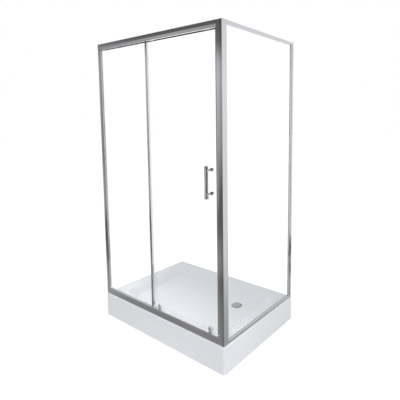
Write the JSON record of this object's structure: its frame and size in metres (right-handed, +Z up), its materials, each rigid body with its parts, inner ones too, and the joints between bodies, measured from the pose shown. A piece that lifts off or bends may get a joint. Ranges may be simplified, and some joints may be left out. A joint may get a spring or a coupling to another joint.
{
  "type": "shower enclosure",
  "caption": "Corner shower enclosure on a high white tray, with a framed glass door that slides behind a fixed front pane and a fixed glass side.",
  "frame": {"origin": "centre of the tray's footprint on the floor", "axes": "+Z up, +X along the long front towards its open corner, +Y towards the wall behind the tray; the door faces -Y"},
  "size_m": [1.2, 0.832, 2.08],
  "materials": {
    "tray_acrylic": "gloss sanitary acrylic",
    "apron_acrylic": "gloss sanitary acrylic",
    "board": "raw particle board",
    "galvanised_steel": "galvanised",
    "zinc_steel": "zinc plated",
    "dark_plastic": "matt",
    "chrome": "polished chrome",
    "dark_rubber": "matt rubber",
    "trap_plastic": "moulded",
    "grey_plastic": "satin",
    "clear_glass": "clear tempered",
    "clear_seal": "soft clear",
    "grey_seal": "soft grey",
    "polished_aluminium": "bright polished",
    "white_plastic": "moulded",
    "roller_steel": "bright"
  },
  "bodies": {
    "root": {"tray_shell": "tray_acrylic", "apron_panel": "apron_acrylic", "base_board": "board", "long_tubes": "galvanised_steel", "cross_tubes": "galvanised_steel", "foot_studs": "zinc_steel", "foot_nuts": "zinc_steel", "foot_pads": "dark_plastic", "apron_brackets": "galvanised_steel", "drain_flange": "chrome", "drain_gasket": "dark_rubber", "trap_body": "trap_plastic", "trap_insert": "trap_plastic", "left_wall_channel": "polished_aluminium", "back_wall_channel": "polished_aluminium", "channel_screws": "chrome", "left_stile": "polished_aluminium", "back_stile": "polished_aluminium", "corner_post": "polished_aluminium", "header_rail": "polished_aluminium", "bottom_rail": "polished_aluminium", "side_top_rail": "polished_aluminium", "side_bottom_rail": "polished_aluminium", "end_caps": "grey_plastic", "centre_stile": "polished_aluminium", "fixed_front_glass": "clear_glass", "side_glass": "clear_glass", "front_glazing_gaskets": "clear_seal", "side_glazing_gaskets": "clear_seal", "rail_infill_strips": "polished_aluminium", "stile_lip_seal": "clear_seal", "post_magnet_strip": "grey_seal", "foot_clips": "white_plastic", "track_stops": "dark_rubber"},
    "door": {"door_glass": "clear_glass", "door_edge_seal": "clear_seal", "door_magnet_strip": "grey_seal", "handle_bar": "chrome", "handle_posts": "chrome", "handle_washers": "chrome", "handle_screws": "chrome", "upper_roller_carriers": "chrome", "upper_axles": "roller_steel", "lower_roller_housings": "white_plastic", "lower_roller_caps": "chrome"},
    "upper_wheel_left": {"upper_wheel_left": "white_plastic", "upper_bearing_left": "roller_steel"},
    "lower_carrier_left": {"lower_carrier_left": "white_plastic", "lower_axle_left": "roller_steel", "release_spring_left": "roller_steel"},
    "lower_wheel_left": {"lower_wheel_left": "white_plastic", "lower_bearing_left": "roller_steel"},
    "upper_wheel_right": {"upper_wheel_right": "white_plastic", "upper_bearing_right": "roller_steel"},
    "lower_carrier_right": {"lower_carrier_right": "white_plastic", "lower_axle_right": "roller_steel", "release_spring_right": "roller_steel"},
    "lower_wheel_right": {"lower_wheel_right": "white_plastic", "lower_bearing_right": "roller_steel"},
    "drain_cover": {"drain_cover": "chrome"}
  },
  "joints": [
    {"name": "door_slide", "type": "slide", "parent": "root", "child": "door", "axis": [1, 0, 0], "range_m": [-0.4865, 0]},
    {"name": "upper_roll_left", "type": "hinge", "parent": "door", "child": "upper_wheel_left", "pos_m": [-0.0135, -0.3608, 2.0649], "axis": [0, 1, 0], "continuous": true},
    {"name": "lower_release_left", "type": "slide", "parent": "door", "child": "lower_carrier_left", "axis": [0, 0, 1], "range_m": [0, 0.004], "stiffness_N_per_m": 800, "springref_m": -0.006, "deforming": ["release_spring_left"]},
    {"name": "lower_roll_left", "type": "hinge", "parent": "lower_carrier_left", "child": "lower_wheel_left", "pos_m": [-0.0135, -0.3608, 0.2093], "axis": [0, 1, 0], "continuous": true},
    {"name": "upper_roll_right", "type": "hinge", "parent": "door", "child": "upper_wheel_right", "pos_m": [0.461, -0.3608, 2.0649], "axis": [0, 1, 0], "continuous": true},
    {"name": "lower_release_right", "type": "slide", "parent": "door", "child": "lower_carrier_right", "axis": [0, 0, 1], "range_m": [0, 0.004], "stiffness_N_per_m": 800, "springref_m": -0.006, "deforming": ["release_spring_right"]},
    {"name": "lower_roll_right", "type": "hinge", "parent": "lower_carrier_right", "child": "lower_wheel_right", "pos_m": [0.461, -0.3608, 0.2093], "axis": [0, 1, 0], "continuous": true},
    {"name": "drain_cover_lift", "type": "slide", "parent": "root", "child": "drain_cover", "axis": [0, 0, 1], "range_m": [0, 0.03]}
  ],
  "couplings": [
    {"joint": "upper_roll_left", "follows": "door_slide", "rad_per_m": 133.33},
    {"joint": "lower_roll_left", "follows": "door_slide", "rad_per_m": 133.33},
    {"joint": "upper_roll_right", "follows": "door_slide", "rad_per_m": 133.33},
    {"joint": "lower_roll_right", "follows": "door_slide", "rad_per_m": 133.33}
  ]
}
